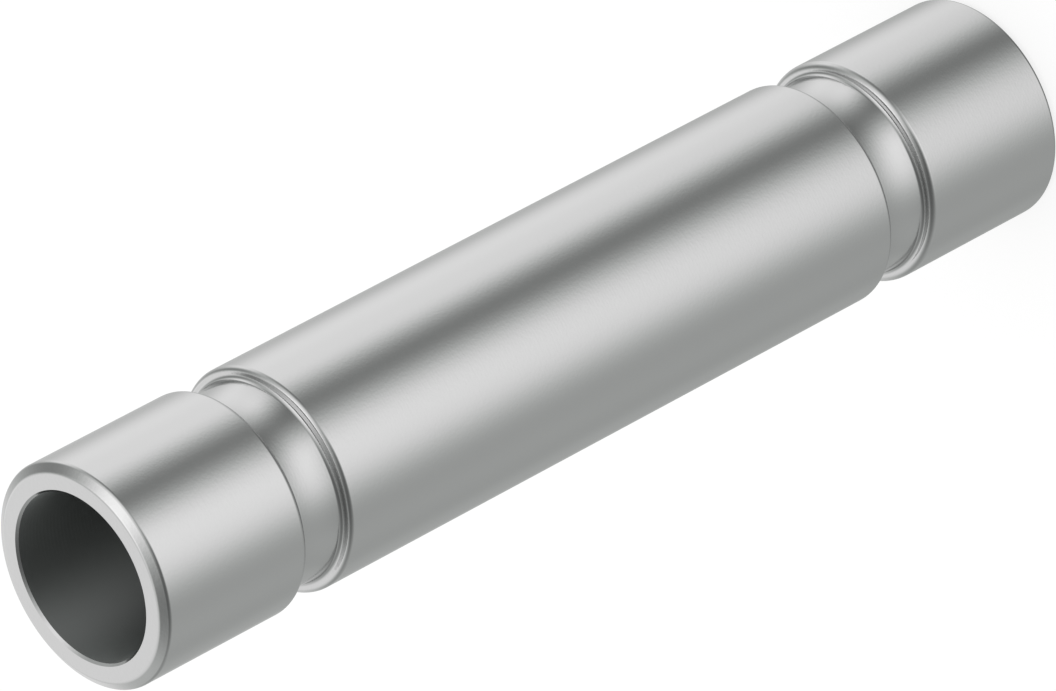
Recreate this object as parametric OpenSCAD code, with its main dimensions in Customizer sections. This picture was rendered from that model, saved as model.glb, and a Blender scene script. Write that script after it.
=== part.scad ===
// Push-in fitting stem: one turned metal tube that joins two push-in fittings of the same size.
// It stands on its plain end face. The axis is Z and the origin is the centre of the bottom face.
// Both ends are alike: a plug end, a retaining groove behind it, and the plain body between them.

/* [Stem] */
// Overall length, face to face
stem_length = 41.8; // [34:0.1:80]
// Outside diameter of the body and of both plug ends
stem_diameter = 8; // [4:0.1:16]
// Thickness of the tube's wall, which leaves the bore that runs right through
wall = 1; // [0.85:0.05:1.6]

/* [Plug ends] */
// Length of a plug end, from its face to the wall of the groove
plug_length = 6.31; // [3:0.01:9]
// Length of the chamfer on the outer edge of each face, along the stem
chamfer_length = 0.21; // [0.18:0.01:0.3]
// Depth of the same chamfer, in from the outside diameter
chamfer_depth = 0.33; // [0.28:0.01:0.45]
// Rounding of the edge between the face and the chamfer
face_rounding = 0.21; // [0.05:0.01:0.3]
// Rounding of the edge between the chamfer and the outside
outer_rounding = 0.15; // [0.05:0.01:0.2]
// Chamfer that breaks the edge of the bore at each face
bore_chamfer = 0.08; // [0.02:0.01:0.15]

/* [Retaining grooves] */
// Width of a groove from wall to wall
groove_width = 1.9; // [1.6:0.02:2.1]
// Depth of a groove at the middle of its floor
groove_depth = 0.47; // [0.46:0.01:0.6]
// Radius of the shallow hollow that the floor makes in section
floor_radius = 5.8; // [4.8:0.1:20]
// Fillet where the floor meets a wall
foot_fillet = 0.16; // [0.05:0.01:0.17]
// Rounding of the plug end's edge at the groove
plug_rounding = 0.24; // [0.02:0.01:0.25]
// Rounding of the body's edge at the groove
body_rounding = 0.18; // [0.02:0.01:0.25]

/* [Hidden] */
$fn = 128;
outer_r = stem_diameter / 2;
bore_r = outer_r - wall;
groove_middle = plug_length + groove_width / 2;
// Angle between a chamfer and the stem's axis
chamfer_slope = atan(chamfer_depth / chamfer_length);
// A cutter reaches this far past the metal, so that no face is left in common
past = 1;

// The sliver that an arc leaves in a corner of the metal. The corner is at the origin, one side of the
// metal runs along +X, the other at the given angle from it, and the arc touches both.
module rounded_off(radius, angle = 90) {
    touch = radius / tan(angle / 2);
    difference() {
        polygon([[0, 0], [touch, 0], [touch, radius], [touch * cos(angle), touch * sin(angle)]]);
        translate([touch, radius]) circle(radius);
    }
}

// Half section of one groove, as a cutter: x is the distance from the axis and y runs along it, with
// the plug end below y = 0 and the body above. The floor is an arc, and a fillet joins it to each wall.
module groove_section() {
    half = groove_width / 2;
    arc_x = outer_r - groove_depth + floor_radius;
    // A fillet's centre lies one fillet radius from the wall and from the arc
    fillet_y = half - foot_fillet;
    fillet_x = arc_x - sqrt((floor_radius - foot_fillet) ^ 2 - fillet_y ^ 2);
    // The fillet meets the arc on the line through both centres
    reach = floor_radius / (floor_radius - foot_fillet);
    join_x = arc_x + (fillet_x - arc_x) * reach;
    join_y = fillet_y * reach;

    polygon([[outer_r + past, -half], [outer_r + past, half], [fillet_x, half], [fillet_x, fillet_y],
        [join_x, join_y], [join_x, -join_y], [fillet_x, -fillet_y], [fillet_x, -half]]);
    for (side = [-1, 1]) translate([fillet_x, side * fillet_y]) circle(foot_fillet);
    intersection() {
        translate([arc_x, 0]) circle(floor_radius);
        translate([join_x - foot_fillet, -join_y]) square([foot_fillet, 2 * join_y]);
    }
    translate([outer_r, -half]) rotate(180) rounded_off(plug_rounding);
    translate([outer_r, half]) rotate(90) rounded_off(body_rounding);
}

// Half section of the outer face chamfer at y = 0, as a cutter, with both of its edges rounded
module chamfer_section() {
    polygon([[outer_r - chamfer_depth, 0], [outer_r, chamfer_length], [outer_r + past, -past]]);
    translate([outer_r, chamfer_length]) rotate(90) rounded_off(outer_rounding, 180 - chamfer_slope);
    translate([outer_r - chamfer_depth, 0]) rotate(90 - chamfer_slope)
        rounded_off(face_rounding, 90 + chamfer_slope);
}

// All that is turned off one end, whose face is at y = 0
module end_cuts() {
    chamfer_section();
    translate([bore_r, 0]) rotate(45) square(bore_chamfer * sqrt(2), center = true);
    translate([0, groove_middle]) groove_section();
}

module stem() {
    color([0.72, 0.73, 0.73])
    rotate_extrude()
    difference() {
        translate([bore_r, 0]) square([wall, stem_length]);
        end_cuts();
        translate([0, stem_length]) mirror([0, 1]) end_cuts();
    }
}

stem();
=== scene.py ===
# %% [markdown]
# # A push-in fitting stem
# A push-in fitting stem is a short metal tube with a groove near each end. Each end is pushed into a
# tube fitting, whose claws grip the groove, so that one stem joins two fittings. It is one turned
# piece with nothing that moves. The CAD model holds its true form. The scene turns the same form
# again, with finer steps, and adds what a drawing can't: the finish of the metal, light and a camera.

# %% Load the CAD model
import math
import bmesh
import bpy
from mathutils import Euler, Matrix, Vector


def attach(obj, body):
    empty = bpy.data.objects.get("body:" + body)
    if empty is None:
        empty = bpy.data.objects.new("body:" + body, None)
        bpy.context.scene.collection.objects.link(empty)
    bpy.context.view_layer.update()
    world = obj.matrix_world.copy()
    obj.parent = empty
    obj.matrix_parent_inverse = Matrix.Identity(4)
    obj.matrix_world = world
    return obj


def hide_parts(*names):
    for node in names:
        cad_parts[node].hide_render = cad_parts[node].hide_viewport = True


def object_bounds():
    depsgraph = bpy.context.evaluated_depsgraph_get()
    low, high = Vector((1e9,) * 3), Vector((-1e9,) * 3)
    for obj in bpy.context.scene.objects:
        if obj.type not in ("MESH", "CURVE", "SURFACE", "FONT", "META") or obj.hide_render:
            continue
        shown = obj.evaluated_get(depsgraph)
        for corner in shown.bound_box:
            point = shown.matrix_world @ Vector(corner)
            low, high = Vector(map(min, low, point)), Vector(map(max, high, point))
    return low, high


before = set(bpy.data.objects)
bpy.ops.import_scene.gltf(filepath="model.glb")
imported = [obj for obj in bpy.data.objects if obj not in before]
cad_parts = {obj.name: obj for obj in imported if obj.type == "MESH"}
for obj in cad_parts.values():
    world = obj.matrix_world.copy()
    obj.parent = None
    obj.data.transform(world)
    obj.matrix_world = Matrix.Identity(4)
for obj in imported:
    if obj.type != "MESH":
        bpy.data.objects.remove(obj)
cad_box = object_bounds()
MM = 0.001
print("CAD box in mm:", [[round(v / MM, 2) for v in corner] for corner in cad_box])

# %% [markdown]
# ## Helpers
# Two small tools serve every finish below. A colour is written as the hex value that a painter or a
# web page would use. It is stored for the eye, so it has to be turned into amounts of light. A
# material is a tree of nodes, and one function that adds a node with its settings and links keeps
# the recipes short enough to read.

# %% Colour and node helpers
def linear(hex_colour):
    """The light amounts of an sRGB hex colour, with a full alpha."""
    parts = [int(hex_colour[i:i + 2], 16) / 255 for i in (1, 3, 5)]
    return [c / 12.92 if c <= 0.04045 else ((c + 0.055) / 1.055) ** 2.4 for c in parts] + [1.0]


def add(tree, kind, inputs=None, **settings):
    """Adds one node. inputs gives each named socket a value, or a link from another node's output."""
    made = tree.nodes.new(kind)
    for name, value in settings.items():
        setattr(made, name, value)
    for socket, value in (inputs or {}).items():
        if isinstance(value, bpy.types.NodeSocket):
            tree.links.new(value, made.inputs[socket])
        else:
            made.inputs[socket].default_value = value
    return made


def new_material(name):
    """An empty material: its tree, with no nodes in it yet."""
    material = bpy.data.materials.new(name)
    material.use_nodes = True
    material.node_tree.nodes.clear()
    return material, material.node_tree


print("linear light of the mid grey #808080:", [round(c, 3) for c in linear("#808080")])

# %% [markdown]
# ## The camera
# The stem stands on its lower end. The photograph looks down on it from 37 degrees above the floor
# and is turned on its side, so that the stem runs across the picture. The far end looks only a
# little smaller than the near one, and that ratio fixes the distance and the very long lens.

# %% Camera
camera_elevation = math.radians(36.71)
camera_roll = math.radians(-117.87)
camera_distance = 393.3 * MM
aim = Vector((-0.105 * MM, 0, 21.60 * MM))

camera_data = bpy.data.cameras.new("camera")
camera_data.lens = 405  # in mm, as is the sensor's width
camera_data.sensor_width = 36
camera_data.clip_start = 10 * MM
camera_data.clip_end = 20
camera = bpy.data.objects.new("camera", camera_data)
bpy.context.scene.collection.objects.link(camera)
looking = Euler((math.pi / 2 - camera_elevation, 0, 0)).to_matrix()
towards_camera = looking @ Vector((0, 0, 1))
turned = looking @ Matrix.Rotation(camera_roll, 3, "Z")
camera.matrix_world = Matrix.Translation(aim + towards_camera * camera_distance) @ turned.to_4x4()
bpy.context.scene.camera = camera
print("camera stands at", [round(v / MM, 1) for v in camera.location], "mm")

# %% [markdown]
# ## The stem's section
# On the real stem a lathe tool follows one line, and the bar turns against it. So the whole form is
# one line in section, made of straight runs and arcs that touch each other. The length and the
# radius come from the CAD model. The other sizes, in millimetres too, are those of its drawing.

# %% Sizes of the section
length = round(cad_box[1][2] / MM, 3)
radius = round(cad_box[1][0] / MM, 3)
wall = 1
bore = radius - wall
plug_length, groove_width, groove_depth = 6.31, 1.9, 0.47
chamfer_length, chamfer_depth, bore_chamfer = 0.21, 0.33, 0.08
face_rounding, outer_rounding = 0.21, 0.15
plug_rounding, body_rounding, foot_fillet, floor_radius = 0.24, 0.18, 0.16, 5.8
quarter_turn = math.pi / 2
print("length", length, "mm, outside radius", radius, "mm, bore radius", bore, "mm")


# %% [markdown]
# A smooth metal shows every error in its surface, because it mirrors the studio. If Blender guesses
# the surface's lean from flat facets, the mirror image wobbles beside each arc. The lean is known
# exactly here: on an arc it turns evenly. So each point of the section carries its own lean, which
# is 0 where the surface faces outwards and a quarter turn where it faces the end.

# %% The section of one end
def arc(along, out, size, start, stop, steps=10, hollow=False):
    """Points on an arc with its centre at (along, out). The lean goes from start to stop."""
    side = -1 if hollow else 1
    leans = [start + (stop - start) * i / steps for i in range(steps + 1)]
    return [(along - side * size * math.sin(a), out + side * size * math.cos(a), a) for a in leans]


def section_of_one_end():
    """From the bore's edge to the body, as runs of (distance from the end, radius, lean)."""
    slope = math.atan2(chamfer_depth, chamfer_length)
    face_touch = face_rounding * math.tan((quarter_turn - slope) / 2)
    outer_touch = outer_rounding * math.tan(slope / 2)
    break_lean = 1.5 * quarter_turn  # the chamfer at the bore's edge faces inwards and to the end
    floor_centre = radius - groove_depth + floor_radius
    fillet_along = groove_width / 2 - foot_fillet
    fillet_out = floor_centre - math.sqrt((floor_radius - foot_fillet) ** 2 - fillet_along ** 2)
    floor_lean = math.asin(fillet_along / (floor_radius - foot_fillet))
    middle = plug_length + groove_width / 2
    body_start = plug_length + groove_width + body_rounding
    return [
        [(bore_chamfer, bore, break_lean), (0, bore + bore_chamfer, break_lean)],
        arc(face_rounding, radius - chamfer_depth - face_touch, face_rounding, quarter_turn, slope)
        + arc(chamfer_length + outer_touch, radius - outer_rounding, outer_rounding, slope, 0)
        + arc(plug_length - plug_rounding, radius - plug_rounding, plug_rounding, 0, -quarter_turn)
        + arc(middle - fillet_along, fillet_out, foot_fillet, -quarter_turn, -floor_lean, hollow=True)
        + arc(middle, floor_centre, floor_radius, -floor_lean, floor_lean, hollow=True)
        + arc(middle + fillet_along, fillet_out, foot_fillet, floor_lean, quarter_turn, hollow=True)
        + arc(body_start, radius - body_rounding, body_rounding, quarter_turn, 0),
    ]


one_end = section_of_one_end()
print("points in each run of one end:", [len(run) for run in one_end])

# %% [markdown]
# Both ends are alike, so the other end is this one in a mirror. The face has no arc where it meets
# the bore's chamfer, so the line is cut there into runs: inside a run the surface is smooth, and
# between two runs it has a crisp edge.

# %% The whole section
break_run, outside_run = one_end
face_start = (0, bore + bore_chamfer, quarter_turn)
lower = [break_run, [face_start] + outside_run]
upper = [[(length - z, r, -lean) for z, r, lean in reversed(run)] for run in reversed(lower)]
outside = lower[1] + upper[0]
bore_run = [(length - bore_chamfer, bore, math.pi), (bore_chamfer, bore, math.pi)]
runs = [break_run, outside, upper[1], bore_run]
print("points along the section:", sum(len(run) for run in runs))


# %% [markdown]
# ## Turning the section
# The section goes round the axis in 256 steps, like the bar in the lathe. Each face's corners get
# the exact lean as their shading direction.

# %% Turn the stem
def turn(name, runs, steps=256):
    """A mesh of revolution about Z from runs of (height, radius, lean) in millimetres."""
    points, faces, shading = [], [], []
    round_the_axis = [(math.cos(2 * math.pi * i / steps), math.sin(2 * math.pi * i / steps))
                      for i in range(steps)]
    for run in runs:
        first = len(points)
        for height, r, lean in run:
            points += [(r * c * MM, r * s * MM, height * MM) for c, s in round_the_axis]
        for row in range(len(run) - 1):
            for i in range(steps):
                j = (i + 1) % steps
                corners = [(row, i), (row, j), (row + 1, j), (row + 1, i)]
                faces.append([first + at * steps + k for at, k in corners])
                for at, k in corners:
                    c, s = round_the_axis[k]
                    lean = run[at][2]
                    shading.append((math.cos(lean) * c, math.cos(lean) * s, -math.sin(lean)))
    mesh = bpy.data.meshes.new(name)
    mesh.from_pydata(points, [], faces)
    mesh.shade_smooth()
    mesh.normals_split_custom_set(shading)
    return mesh


stem_mesh = turn("turned_stem", runs)
stem = bpy.data.objects.new("turned_stem", stem_mesh)
bpy.context.scene.collection.objects.link(stem)
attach(stem, "root")
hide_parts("stem")
print("the turned stem has", len(stem_mesh.polygons), "faces")

# %% [markdown]
# ## Satin stainless steel
# The real stem is turned from stainless bar and then blasted with fine glass beads, which takes the
# shine off without making the surface dull. A polished steel would show the studio as a sharp
# picture, and a brushed one would have lines. Here the bands of light keep their places and have
# soft edges, so the roughness is low but not small. Two marks of the making are left, and both are
# faint. The beads leave dents about 0.05 mm across. That is less than two pixels in the picture, so
# they are drawn 0.12 mm across, and shallow. Under them the tool's feed of 0.12 mm a turn still
# shows as rings. Both go into the bump, and the dents into the roughness too, so that light breaks
# up a little at close range and the form stays clean from further off.

# %% Outside finish
bead_dent = 0.12 * MM
dent_depth = 0.0016 * MM
tool_feed = 0.12 * MM
ring_share = 0.12  # height of the rings beside that of the dents
least_rough, most_rough = 0.125, 0.155
wave_repeat = 2 * math.pi / 20  # a Wave node's bands lie this far apart at a scale of 1

steel, tree = new_material("bead_blasted_stainless_steel")
place = add(tree, "ShaderNodeTexCoord").outputs["Object"]
dents = add(tree, "ShaderNodeTexNoise", {"Vector": place, "Scale": 1 / bead_dent, "Detail": 1.0})
rings = add(tree, "ShaderNodeTexWave", {"Vector": place, "Scale": wave_repeat / tool_feed},
            bands_direction="Z")
relief = add(tree, "ShaderNodeMath", {0: rings.outputs["Fac"], 1: ring_share,
                                      2: dents.outputs["Fac"]}, operation="MULTIPLY_ADD")
bump = add(tree, "ShaderNodeBump", {"Height": relief.outputs[0], "Distance": dent_depth})
dullness = add(tree, "ShaderNodeMapRange", {"Value": dents.outputs["Fac"], "From Min": 0.3,
                                            "From Max": 0.7, "To Min": least_rough,
                                            "To Max": most_rough})
metal = add(tree, "ShaderNodeBsdfPrincipled",
            {"Base Color": linear("#E1E1E1"), "Specular Tint": linear("#EDEDED"), "Metallic": 1.0,
             "Roughness": dullness.outputs[0], "Normal": bump.outputs[0]})
add(tree, "ShaderNodeOutputMaterial", {"Surface": metal.outputs[0]})
stem_mesh.materials.append(steel)
print("dents across the stem's width:", round(2 * radius * MM / bead_dent))

# %% [markdown]
# ## The bore
# No beads reach far into the bore, so it keeps the skin that the drill left. That is darker and much
# rougher than the outside: it scatters the light that comes in at the mouth, so the eye sees a soft
# grey, where a bright bore would turn black after a few reflections. The drill's marks run round the
# bore. The coarse ones, one for each turn's feed, are in the bump. The fine ones can't be drawn one by
# one, and they spread light along the bore much more than round it. The shader calls that
# anisotropy. It keeps the dark band that runs into the bore in the photograph.

# %% Bore finish
drill_feed = 0.15 * MM
drill_mark_depth = 0.001 * MM
past_bore = (bore + 0.01) * MM  # between the bore's radius and that of its chamfered edge

bore_skin, tree = new_material("drilled_steel_bore")
place = add(tree, "ShaderNodeTexCoord").outputs["Object"]
rings = add(tree, "ShaderNodeTexWave", {"Vector": place, "Scale": wave_repeat / drill_feed,
                                        "Distortion": 1.5}, bands_direction="Z")
bump = add(tree, "ShaderNodeBump", {"Height": rings.outputs["Fac"], "Distance": drill_mark_depth})
around = add(tree, "ShaderNodeTangent", direction_type="RADIAL", axis="Z")
metal = add(tree, "ShaderNodeBsdfPrincipled",
            {"Base Color": linear("#AFB2B1"), "Metallic": 1.0, "Roughness": 0.6, "Anisotropic": 0.9,
             "Anisotropic Rotation": 0.25, "Tangent": around.outputs[0],
             "Normal": bump.outputs[0]})
add(tree, "ShaderNodeOutputMaterial", {"Surface": metal.outputs[0]})
stem_mesh.materials.append(bore_skin)
for face in stem_mesh.polygons:
    if all(math.hypot(*stem_mesh.vertices[v].co.xy) < past_bore for v in face.vertices):
        face.material_index = 1
print("faces in the bore:", sum(face.material_index for face in stem_mesh.polygons))

# %% [markdown]
# ## The studio
# Metal has no colour of its own to show. What the eye reads as steel is the picture of the studio in
# it. The photographed stem mirrors a grey studio on all sides, also from below, with soft bright
# windows in it. The dark stripe along the body is a gap between two of them. A plain white world
# would turn the stem into a flat white shape, and lamps would burn small hard spots into it. So the
# stem stands in a large round tent of grey cloth, and each window is a soft spot on the cloth.
#
# Only mirror rays see the tent. It sheds no light on the floor, hides nothing from the camera, and
# every window keeps the shape that is written here. Azimuth is 0 on the camera's side and grows
# towards the stem's left. Elevation is the height above the floor's level. The spread is the angle
# at which a window has faded to about 60%.

# %% Windows in the tent
WINDOWS = [
    # name, azimuth and elevation and spread in degrees, brightness at the middle
    ("low, front left", 23, -31, 18, 0.62),
    ("low, front", -11, -27, 16, 0.64),
    ("level, front", -12, 1, 10, 0.32),
    ("high, front right", -48, 45, 26, 0.83),
    ("low, right", -79, -31, 13, 0.60),
    ("level, right", -110, 2, 17, 0.75),
    ("low, back right", -118, -38, 18, 0.76),
    ("behind", -168, 27, 11, 0.48),
    ("level, behind", -172, -13, 22, 0.74),
    ("low, back left", 143, -37, 10, 0.10),
    ("level, back left", 165, -4, 13, 0.29),
    ("high, back left", 159, 41, 21, 0.65),
    ("wide and low, left", 100, -31, 40, 0.40),
    ("overhead", -118, 75, 16, 0.93),
]
cloth_light = 0.015
all_grey, all_white = 0.45, 0.8  # tinted below the first brightness, white above the second
print("windows:", len(WINDOWS), "- brightest", max(window[-1] for window in WINDOWS))

# %% [markdown]
# A window is brightest at its middle and fades evenly all round. The dot product of two directions
# is 1 where they agree and falls off like a parabola, so an exponential of it is a soft round spot
# that has no edge. The cloth's own grey is a little green, and the windows are white.

# %% Tent cloth
tent_cloth, tree = new_material("grey_tent_cloth")
place = add(tree, "ShaderNodeTexCoord").outputs["Object"]
direction = add(tree, "ShaderNodeVectorMath", {0: place}, operation="NORMALIZE").outputs[0]
light = cloth_light
for _, azimuth, elevation, spread, brightness in WINDOWS:
    a, e = math.radians(azimuth), math.radians(elevation)
    towards = (-math.sin(a) * math.cos(e), -math.cos(a) * math.cos(e), math.sin(e))
    sharpness = math.radians(spread) ** -2
    facing = add(tree, "ShaderNodeVectorMath", {0: direction, 1: towards}, operation="DOT_PRODUCT")
    fall = add(tree, "ShaderNodeMath", {0: facing.outputs["Value"], 1: sharpness, 2: -sharpness},
               operation="MULTIPLY_ADD")
    spot = add(tree, "ShaderNodeMath", {0: fall.outputs[0]}, operation="EXPONENT")
    light = add(tree, "ShaderNodeMath", {0: spot.outputs[0], 1: brightness, 2: light},
                operation="MULTIPLY_ADD").outputs[0]
whiteness = add(tree, "ShaderNodeMapRange", {"Value": light, "From Min": all_grey,
                                             "From Max": all_white})
tint = add(tree, "ShaderNodeMix", {0: whiteness.outputs[0], 6: linear("#FCFFFD"),
                                   7: linear("#FFFFFF")}, data_type="RGBA")
emit = add(tree, "ShaderNodeEmission", {"Color": tint.outputs[2], "Strength": light})
add(tree, "ShaderNodeOutputMaterial", {"Surface": emit.outputs[0]})
tent_cloth.cycles.emission_sampling = "NONE"

# %% [markdown]
# The tent is a ball of nearly 1 m across with the stem in its middle. A larger one would show the
# same windows to the whole stem. In this one the two ends see them at slightly different angles, and
# so the bands shift and fade a little along the stem, as they do in the photograph.

# %% Tent
tent_radius = 480 * MM
ball = bmesh.new()
bmesh.ops.create_icosphere(ball, subdivisions=5, radius=tent_radius)
tent_mesh = bpy.data.meshes.new("studio_tent")
ball.to_mesh(tent_mesh)
ball.free()
tent_mesh.materials.append(tent_cloth)
tent = bpy.data.objects.new("studio_tent", tent_mesh)
tent.location.z = length * MM / 2
bpy.context.scene.collection.objects.link(tent)
tent.visible_camera = False
tent.visible_diffuse = False
tent.visible_shadow = False
print("tent faces:", len(tent_mesh.polygons))

# %% [markdown]
# ## World and floor
# The photograph's background is pure white. The world is plain white at a strength of 1, so that a
# white surface renders white. The floor is white paper. Most of its white is its own glow, and the
# rest is the world's light, which the stem keeps off it, and that leaves a faint shadow round the
# foot. The floor isn't seen by mirror rays. It would fill the lower half of what the stem mirrors
# and wipe out the dark stripe, which the photograph has there.

# %% World
studio = bpy.data.worlds.new("studio")
studio.use_nodes = True
studio.node_tree.nodes.clear()
sky = add(studio.node_tree, "ShaderNodeBackground", {"Color": linear("#FFFFFF"), "Strength": 1.0})
add(studio.node_tree, "ShaderNodeOutputWorld", {"Surface": sky.outputs[0]})
bpy.context.scene.world = studio
bpy.context.scene.view_settings.view_transform = "Standard"
print("view transform:", bpy.context.scene.view_settings.view_transform)

# %% Floor
floor_half = 1.5
paper_colour, paper_glow = "#8C8C8C", 0.77
corners = [(-floor_half, -floor_half, 0), (floor_half, -floor_half, 0),
           (floor_half, floor_half, 0), (-floor_half, floor_half, 0)]
floor_mesh = bpy.data.meshes.new("floor")
floor_mesh.from_pydata(corners, [], [(0, 1, 2, 3)])
floor = bpy.data.objects.new("floor", floor_mesh)
bpy.context.scene.collection.objects.link(floor)
floor.visible_glossy = False

paper, tree = new_material("white_paper")
sheet = add(tree, "ShaderNodeBsdfDiffuse", {"Color": linear(paper_colour)})
glow = add(tree, "ShaderNodeEmission", {"Color": linear("#FFFFFF"), "Strength": paper_glow})
both = add(tree, "ShaderNodeAddShader", {0: sheet.outputs[0], 1: glow.outputs[0]})
add(tree, "ShaderNodeOutputMaterial", {"Surface": both.outputs[0]})
floor_mesh.materials.append(paper)
print("open floor's light:", round(linear(paper_colour)[0] + paper_glow, 3))
